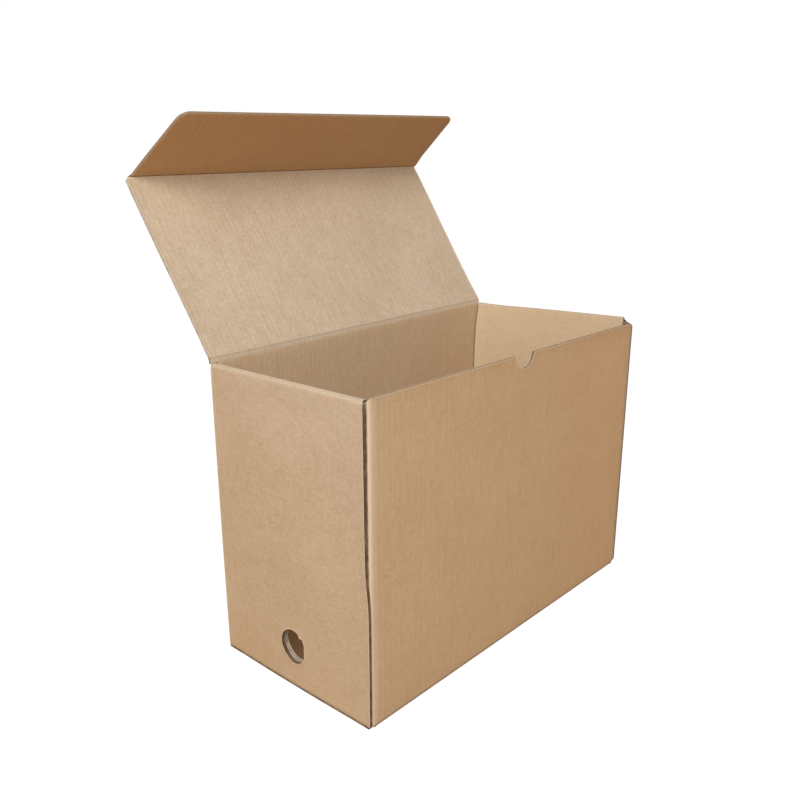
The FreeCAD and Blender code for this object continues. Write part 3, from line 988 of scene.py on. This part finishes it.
def end_pieces(name, side):
    """Outer panel, top strip and inner panel of one end."""
    hole = name == "left"
    place = over_end(side)
    corner = -END_EDGE
    outer = [(-END_EDGE + CORNER_CUT, 0.0), (END_EDGE, 0.0), (END_EDGE, OUTER_TOP_S),
             (-END_EDGE, OUTER_TOP_S), (-END_EDGE, OUTER_LOW_S + CORNER_CUT / 2)]
    if hole:
        corner += GAP_BACK
        heights = np.linspace(HEIGHT - BOARD, GAP_FOOT, GAP_POINTS)
        edge = [(-END_EDGE + GAP_BACK * higher(z), OUTER_LOW_S + z - FOLD_RADIUS) for z in heights]
        outer = outer[:3] + [(corner, OUTER_TOP_S)] + edge[1:] + outer[4:]
    loops = [outer]
    if hole:
        loops.append(hole_outline(HOLE_Y, OUTER_LOW_S + HOLE_Z - FOLD_RADIUS, 1))
    piece = board(f"{name}_outer_board", loops, place, CROSS, "u", joined=(0.0, OUTER_TOP_S),
                  held=("start", "end"), seed=4 + side, bulge=0.8,
                  # Painted contact shadow along the foot, painted warm bounce on the left end, painted
                  # shade at cuts
                  lines=((OUTER_LOW_S, *END_FOOT_SHADOW),), shade_tint=LEFT_SHADE_TINT if hole else EVEN,
                  shade=1.0 if hole else 0.4)
    stand_for(piece, f"{name}_end_outer", "carton")

    top = [(corner, OUTER_TOP_S), (END_EDGE, OUTER_TOP_S),
           (INNER_HIGH[1], INNER_TOP_S), (INNER_LOW[1], INNER_TOP_S)]
    turn = TOP_FOLD_RADIUS * math.pi / 4
    piece = board(f"{name}_top_board", [top], place, CROSS, "u", joined=(OUTER_TOP_S, INNER_TOP_S),
                  # Painted shade along the strip's two scores
                  seed=7 + side, lines=((OUTER_TOP_S + turn, *SOFT_SCORE_SHADE),
                                        (INNER_TOP_S - turn, *SOFT_SCORE_SHADE)))
    stand_for(piece, f"{name}_end_top", "carton")

    inner = [(INNER_LOW[1], INNER_TOP_S), (INNER_HIGH[1], INNER_TOP_S), (INNER_HIGH[1], INNER_END_S)]
    tab_end = INNER_END_S + BOARD - TAB_LOW
    for place_y in (1, -1):
        low, high = place_y * TAB_PITCH / 2 - TAB_WIDTH / 2, place_y * TAB_PITCH / 2 + TAB_WIDTH / 2
        inner += [(high, INNER_END_S), (high, tab_end), (low, tab_end), (low, INNER_END_S)]
    inner += [(INNER_LOW[1], INNER_END_S)]
    loops = [inner]
    if hole:
        centre = INNER_TOP_S + HEIGHT - HALF_BOARD - TOP_FOLD_RADIUS - HOLE_Z
        loops.append(hole_outline(HOLE_Y + INNER_HOLE_SHIFT, centre, -1))
    piece = board(f"{name}_inner_board", loops, place, CROSS, "u", joined=(INNER_TOP_S,),
                  held=("start", "end"), seed=10 + side, bulge=0.8, shade_tint=INSIDE_LIGHT_TINT,
                  bleach=0.7 if hole else 0.0)
    stand_for(piece, f"{name}_end_inner", "carton")


def side_flap(end, side, wall_name, sign):
    """Flap between the two boards of an end; its outline has height across and reach along."""
    outline = [(FLAP_LOW, FLAP_ROOT_S), (FLAP_HIGH, FLAP_ROOT_S),
               (FLAP_HIGH - FLAP_TAPER, FLAP_END_S), (FLAP_LOW + FLAP_TAPER, FLAP_END_S)]
    piece = board(f"{wall_name}_{end}_flap_board", [outline], around_corner(side, sign), AROUND, "u",
                  joined=(FLAP_ROOT_S,), seed=14 + side + 2 * sign,
                  lines=((FLAP_ROOT_S, *SIDE_FLAP_SHADE),))
    stand_for(piece, f"{wall_name}_{end}_side_flap", "carton")


def blended(piece, node, start_s, end_s):
    """A crease between two stations of the long run: its node is hidden and it stays where it is
    built.
    """
    ends = np.array([start_s, end_s])
    middles = np.stack(LONG.at(ends, np.zeros(2)), axis=1)
    way = (middles[1] - middles[0]) / np.linalg.norm(middles[1] - middles[0])
    faces = np.array([-HALF_BOARD, HALF_BOARD])
    first = np.stack(LONG.at(np.full(2, start_s), faces), axis=1) @ way
    last = np.stack(LONG.at(np.full(2, end_s), faces), axis=1) @ way
    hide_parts(node)
    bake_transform(piece)
    return piece


# Where the creases end, just past their bends, and the sides of the lid and the flap
LID_START_S = LID_ROOT_S + 0.3
LID_END_S = TUCK_START_S - 1.0
TUCK_FLAP_S = TUCK_ROOT_S + 0.9
LID_LEFT, LID_RIGHT = -HALF_WIDTH - 1.2, HALF_WIDTH - 4.0
TUCK_LEFT, TUCK_RIGHT = -HALF_WIDTH + 4.3, HALF_WIDTH - 1.4
TIP_LEFT, TIP_RIGHT = -HALF_WIDTH + 18.2, HALF_WIDTH - 9.8
SHOULDER_LEFT, SHOULDER_RIGHT = -HALF_WIDTH + 7.0, HALF_WIDTH - 5.4
TUCK_SHOULDER, TUCK_CORNER = 16.0, 11.0

# A lug at the hinge's left end, a step at its right end, and how far its band of painted
# highlight lies below the score
LUG, LUG_OUT = 0.8, 0.2
RIGHT_STEP = 1.5
PALE_BELOW = 2.6


def flap_side(root, shoulder, tip):
    """One side of the tuck flap, from its root out to where its far edge starts."""
    found = [(root, TUCK_FLAP_S), (shoulder, TUCK_FLAP_S + TUCK_SHOULDER)]
    rise = TUCK_END_S - TUCK_FLAP_S - TUCK_SHOULDER
    slope = math.degrees(math.atan(abs(shoulder - tip) / rise))
    reach = TUCK_CORNER * math.tan(math.radians((90 - slope) / 2))
    inward = -math.copysign(1, tip)
    centre = (tip + inward * reach, TUCK_END_S - TUCK_CORNER)
    turned = arc(centre, TUCK_CORNER, slope, 90)
    if inward > 0:
        turned = [(2 * centre[0] - u, s) for u, s in turned]
    return found + turned


def lid():
    """Back crease, lid, front crease and tuck flap."""
    wall_half = HALF_FLAT + TOP_PAST
    lug = -HALF_WIDTH - LUG_OUT
    outline = [(-wall_half, BACK_TOP_S), (wall_half, BACK_TOP_S), (LID_RIGHT, BACK_TOP_S + RIGHT_STEP),
               (LID_RIGHT, LID_START_S), (LID_LEFT, LID_START_S), (LID_LEFT, BACK_TOP_S - LUG),
               (lug, BACK_TOP_S - LUG), (lug, BACK_TOP_S)]
    score = LID_ROOT_S - SCORE_RADIUS * math.radians(LID_LEAN - LEAN_START) / 2
    crease = board("lid_crease_board", [outline], Placing(along_lid), LONG, "s",
                   joined=(BACK_TOP_S, LID_START_S), seed=20, shade_tint=HINGE_SHADE_TINT,
                   # The score's painted shade, and a band of painted highlight below it
                   lines=((score, *HINGE_SCORE_SHADE), (score - PALE_BELOW, *HINGE_HIGHLIGHT)))
    blended(crease, "lid_crease", BACK_TOP_S, LID_START_S)

    panel = board("lid_board", [rectangle(LID_LEFT, LID_RIGHT, LID_START_S, LID_END_S)],
                  Placing(along_lid), LONG, "s", joined=(LID_START_S, LID_END_S),
                  held=("start", "end"), seed=21, bulge=1.5, bleach=0.9)
    stand_for(panel, "lid_panel", "lid")

    outline = [(LID_LEFT, LID_END_S), (LID_RIGHT, LID_END_S), (TUCK_RIGHT, TUCK_FLAP_S),
               (TUCK_LEFT, TUCK_FLAP_S)]
    fold = board("tuck_crease_board", [outline], Placing(along_lid), LONG, "s",
                 joined=(LID_END_S, TUCK_FLAP_S), seed=22, shade_tint=CREASE_SHADE_TINT, flare=EDGE_CRUSH,
                 # Painted shade inside the fold
                 lines=((TUCK_ROOT_S + LINE_PAST, *TUCK_FOLD_SHADE),))
    blended(fold, "tuck_crease", LID_END_S, TUCK_FLAP_S)

    right = flap_side(TUCK_RIGHT, SHOULDER_RIGHT, TIP_RIGHT)
    left = flap_side(TUCK_LEFT, SHOULDER_LEFT, TIP_LEFT)
    outline = right + left[::-1]
    flap = board("tuck_flap_board", [outline], Placing(along_lid), LONG, "s", joined=(TUCK_FLAP_S,),
                 held=("start",), seed=23, bulge=1.0, shade_tint=TUCK_SHADE_TINT, flare=EDGE_CRUSH)
    stand_for(flap, "tuck_flap", "tuck")


bottom_panel()
front_panel()
back_panel()
for end, side in (("left", -1), ("right", 1)):
    end_pieces(end, side)
    for wall_name, sign in (("front", -1), ("back", 1)):
        side_flap(end, side, wall_name, sign)
lid()


# Camera, placed where the photograph was taken from


def add_camera(place, azimuth, elevation, roll, lens):
    turn, rise, tip = (math.radians(each) for each in (azimuth, elevation, roll))
    back = Vector((math.sin(turn) * math.cos(rise), -math.cos(turn) * math.cos(rise), math.sin(rise)))
    right = Vector((0, 0, 1)).cross(back).normalized()
    upward = back.cross(right)
    leaned_right = math.cos(tip) * right + math.sin(tip) * upward
    leaned_up = math.cos(tip) * upward - math.sin(tip) * right
    data = bpy.data.cameras.new("camera")
    data.lens = lens
    data.sensor_width = 36.0
    camera = bpy.data.objects.new("camera", data)
    facing = Matrix((leaned_right, leaned_up, back)).transposed().to_4x4()
    camera.matrix_world = Matrix.Translation(Vector(place) * MM) @ facing
    bpy.context.scene.collection.objects.link(camera)
    bpy.context.scene.camera = camera


add_camera(place=(-620.9, -511.4, 451.4), azimuth=-47.8, elevation=16.36, roll=-0.42, lens=39.19)


# Studio: pale floor, plain soft light


def seen_directly(nodes):
    """1 for rays that reach the eye straight, by a gloss or through glass."""
    rays = nodes.add("ShaderNodeLightPath")
    found = nodes.math("MAXIMUM", rays.outputs["Is Camera Ray"], rays.outputs["Is Glossy Ray"])
    return nodes.math("MAXIMUM", found, rays.outputs["Is Transmission Ray"])


# The floor as the eye sees it, with its glow, and the warm bounce that it gives the object
FLOOR_SEEN, FLOOR_GLOW = (0.2, 0.2, 0.2, 1), 0.93
FLOOR_LIT = (0.50, 0.33, 0.18, 1)
WHITE = (1, 1, 1, 1)


def add_floor():
    """A pale floor that reads as white and keeps a soft shadow of the object."""
    bpy.ops.mesh.primitive_plane_add(size=40)
    floor = bpy.context.object
    floor.name = "floor"
    nodes = Nodes(bpy.data.materials.new("floor"))
    direct = seen_directly(nodes)
    nodes.surface(nodes.mix(direct, FLOOR_LIT, FLOOR_SEEN), roughness=1.0, specular=0.0)
    nodes.shader.inputs["Emission Color"].default_value = WHITE
    nodes.link(nodes.math("MULTIPLY", direct, FLOOR_GLOW), nodes.shader.inputs["Emission Strength"])
    floor.data.materials.append(nodes.owner)


def add_lamp(name, place, target, power, size):
    """A square lamp in metres and watts, turned to its target."""
    data = bpy.data.lights.new(name, "AREA")
    data.energy = power
    data.size = size
    lamp = bpy.data.objects.new(name, data)
    lamp.location = place
    lamp.rotation_euler = (Vector(place) - Vector(target)).to_track_quat("Z", "Y").to_euler()
    bpy.context.scene.collection.objects.link(lamp)


def add_world(strength, colour):
    """White to the eye, and a dimmer plain light on the object."""
    world = bpy.data.worlds.new("studio")
    bpy.context.scene.world = world
    nodes = Nodes(world, "Background")
    direct = seen_directly(nodes)
    nodes.link(nodes.ranged(direct, 0, 1, strength, 1.0), nodes.shader.inputs["Strength"])
    nodes.link(nodes.mix(direct, (*colour, 1), WHITE), nodes.shader.inputs["Color"])


add_floor()
add_lamp("key", place=(-1.40, -1.05, 1.65), target=(0, 0, 0.2), power=46, size=1.6)
add_world(strength=0.47, colour=(0.96, 1.0, 1.06))
bpy.context.scene.view_settings.view_transform = "Standard"
